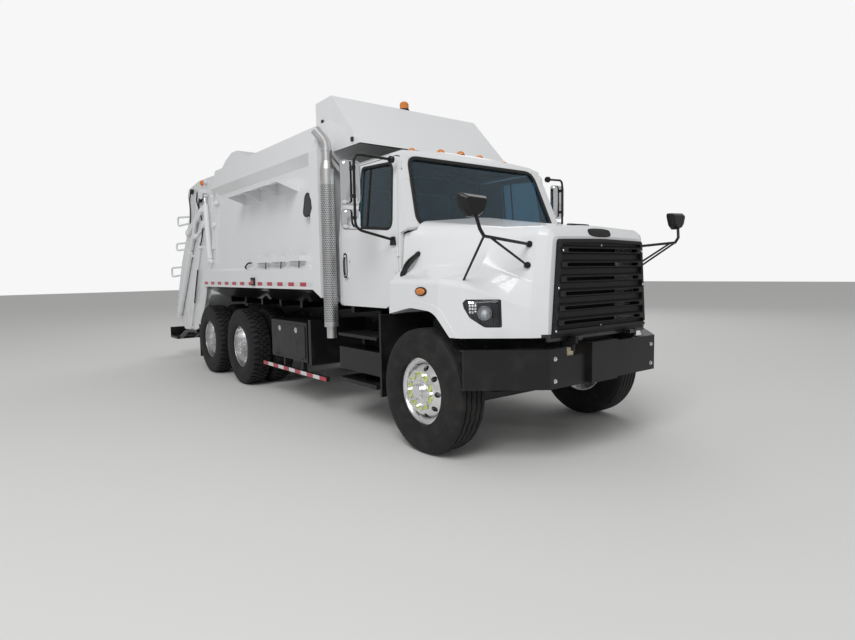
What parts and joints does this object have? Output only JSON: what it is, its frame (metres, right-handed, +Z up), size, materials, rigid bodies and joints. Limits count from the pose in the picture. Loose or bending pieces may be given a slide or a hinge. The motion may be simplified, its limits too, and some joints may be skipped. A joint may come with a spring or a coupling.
{
  "type": "rear-loading garbage truck",
  "caption": "Three-axle conventional-cab refuse truck with a hollow packer body, tilting hood, lifting tailgate, sliding carrier and sweep blade",
  "frame": {"origin": "on the ground, under the middle of the truck's overall length and width", "axes": "+X towards the front bumper, +Y towards the driver's left side, +Z up"},
  "size_m": [9.105, 3.03, 3.54],
  "materials": {
    "white_paint": "clean glossy white paint",
    "black_paint": "semi-gloss black paint",
    "iron": "painted cast iron",
    "dark_plastic": "matte black plastic",
    "lamp_plastic": "glossy dark lamp housing",
    "aluminium": "polished",
    "stack_steel": "dull steel",
    "primer": "matte beige primer",
    "rod_chrome": "hard chrome",
    "tyre": "worn black tyre",
    "rubber": "black rubber sheet",
    "glass": "tinted glass",
    "amber": "amber lens",
    "red_lamp": "red lens",
    "seat_fabric": "woven grey cloth"
  },
  "bodies": {
    "chassis": {"frame_rails": "black_paint", "tow_hooks": "primer", "bumper": "black_paint", "radiator": "iron", "engine": "iron", "driveline": "iron", "front_axle": "black_paint", "rear_axles": "black_paint", "cab_shell": "white_paint", "cab_glass": "glass", "seats": "seat_fabric", "dashboard": "dark_plastic", "cab_shield": "white_paint", "lamps_amber": "amber", "body_shell": "white_paint", "body_frame": "black_paint", "tool_racks": "white_paint", "exhaust_stack": "stack_steel", "side_boxes": "black_paint", "fuel_tank": "aluminium", "cab_steps": "black_paint", "side_guards": "black_paint", "mudflaps": "rubber"},
    "hood": {"hood": "white_paint", "grille": "dark_plastic", "headlamps": "lamp_plastic", "hood_mirrors": "black_paint"},
    "door_right": {"door_right": "white_paint", "door_glass_right": "glass", "door_mirror_right": "black_paint"},
    "door_left": {"door_left": "white_paint", "door_glass_left": "glass", "door_mirror_left": "black_paint"},
    "knuckle_right": {"knuckle_right": "black_paint"},
    "knuckle_left": {"knuckle_left": "black_paint"},
    "tie_rod": {"tie_rod": "black_paint"},
    "front_wheel_right": {"wheel_front_right": "aluminium", "tyre_front_right": "tyre"},
    "front_wheel_left": {"wheel_front_left": "aluminium", "tyre_front_left": "tyre"},
    "rear_wheels_r1_right": {"wheels_r1_right": "aluminium", "tyres_r1_right": "tyre"},
    "rear_wheels_r1_left": {"wheels_r1_left": "aluminium", "tyres_r1_left": "tyre"},
    "rear_wheels_r2_right": {"wheels_r2_right": "aluminium", "tyres_r2_right": "tyre"},
    "rear_wheels_r2_left": {"wheels_r2_left": "aluminium", "tyres_r2_left": "tyre"},
    "ejector": {"ejector": "white_paint"},
    "tailgate": {"tailgate": "white_paint", "rear_step": "black_paint", "tail_lamps": "red_lamp", "slide_barrels": "white_paint"},
    "carrier": {"carrier": "white_paint"},
    "sweep": {"sweep_blade": "white_paint"},
    "sweep_barrels": {"sweep_barrels": "white_paint"},
    "sweep_rods": {"sweep_rods": "rod_chrome"},
    "lift_barrels": {"lift_barrels": "white_paint"},
    "lift_rods": {"lift_rods": "rod_chrome"}
  },
  "joints": [
    {"name": "steer_right", "type": "hinge", "parent": "chassis", "child": "knuckle_right", "pos_m": [3.5075, -0.9, 0.535], "axis": [0, 0, 1], "range_deg": [-35, 35]},
    {"name": "front_wheel_right_spin", "type": "hinge", "parent": "knuckle_right", "child": "front_wheel_right", "pos_m": [3.5075, -1.07, 0.535], "axis": [0, 1, 0], "continuous": true},
    {"name": "rear_wheels_r1_right_spin", "type": "hinge", "parent": "chassis", "child": "rear_wheels_r1_right", "pos_m": [-0.6825, -0.915, 0.535], "axis": [0, 1, 0], "continuous": true},
    {"name": "rear_wheels_r2_right_spin", "type": "hinge", "parent": "chassis", "child": "rear_wheels_r2_right", "pos_m": [-2.0025, -0.915, 0.535], "axis": [0, 1, 0], "continuous": true},
    {"name": "door_right_swing", "type": "hinge", "parent": "chassis", "child": "door_right", "pos_m": [3.032, -1.07, 1.6], "axis": [0, 0, 1], "range_deg": [0, 70]},
    {"name": "steer_left", "type": "hinge", "parent": "chassis", "child": "knuckle_left", "pos_m": [3.5075, 0.9, 0.535], "axis": [0, 0, 1], "range_deg": [-35, 35]},
    {"name": "front_wheel_left_spin", "type": "hinge", "parent": "knuckle_left", "child": "front_wheel_left", "pos_m": [3.5075, 1.07, 0.535], "axis": [0, 1, 0], "continuous": true},
    {"name": "rear_wheels_r1_left_spin", "type": "hinge", "parent": "chassis", "child": "rear_wheels_r1_left", "pos_m": [-0.6825, 0.915, 0.535], "axis": [0, 1, 0], "continuous": true},
    {"name": "rear_wheels_r2_left_spin", "type": "hinge", "parent": "chassis", "child": "rear_wheels_r2_left", "pos_m": [-2.0025, 0.915, 0.535], "axis": [0, 1, 0], "continuous": true},
    {"name": "door_left_swing", "type": "hinge", "parent": "chassis", "child": "door_left", "pos_m": [3.032, 1.07, 1.6], "axis": [0, 0, -1], "range_deg": [0, 70]},
    {"name": "tie_rod_turn", "type": "hinge", "parent": "knuckle_left", "child": "tie_rod", "pos_m": [3.2775, 0.86, 0.415], "axis": [0, 0, 1], "range_deg": [-35, 35]},
    {"name": "hood_tilt", "type": "hinge", "parent": "chassis", "child": "hood", "pos_m": [4.4925, 0, 1], "axis": [0, 1, 0], "range_deg": [0, 60]},
    {"name": "ejector_slide", "type": "slide", "parent": "chassis", "child": "ejector", "axis": [-1, 0, 0], "range_m": [0, 2.95]},
    {"name": "tailgate_lift", "type": "hinge", "parent": "chassis", "child": "tailgate", "pos_m": [-1.5125, 0, 3.03], "axis": [0, 1, 0], "range_deg": [0, 80]},
    {"name": "lift_barrel_turn", "type": "hinge", "parent": "chassis", "child": "lift_barrels", "pos_m": [-1.8425, 0, 1.76], "axis": [0, 1, 0], "range_deg": [0, 6.64]},
    {"name": "lift_rod_slide", "type": "slide", "parent": "lift_barrels", "child": "lift_rods", "axis": [-0.118, 0, 0.993], "range_m": [0, 0.65222]},
    {"name": "carrier_slide", "type": "slide", "parent": "tailgate", "child": "carrier", "axis": [-0.6051, 0, -0.7961], "range_m": [0, 0.75]},
    {"name": "sweep_turn", "type": "hinge", "parent": "carrier", "child": "sweep", "pos_m": [-2.7925, 0, 2.03], "axis": [0, 1, 0], "range_deg": [0, 90]},
    {"name": "sweep_barrel_turn", "type": "hinge", "parent": "carrier", "child": "sweep_barrels", "pos_m": [-2.43745, 0, 2.8276], "axis": [0, 1, 0], "range_deg": [-7.03, 0]},
    {"name": "sweep_rod_slide", "type": "slide", "parent": "sweep_barrels", "child": "sweep_rods", "axis": [-0.6051, 0, -0.7961], "range_m": [-0.31567, 0]}
  ],
  "couplings": [
    {"joint": "steer_right", "follows": "steer_left", "ratio": 1},
    {"joint": "tie_rod_turn", "follows": "steer_left", "ratio": -1},
    {"joint": "lift_barrel_turn", "follows": "tailgate_lift", "ratio": 0.082896},
    {"joint": "lift_rod_slide", "follows": "tailgate_lift", "m_per_rad": 0.46619},
    {"joint": "sweep_barrel_turn", "follows": "sweep_turn", "ratio": -0.077961},
    {"joint": "sweep_rod_slide", "follows": "sweep_turn", "m_per_rad": -0.20056}
  ]
}
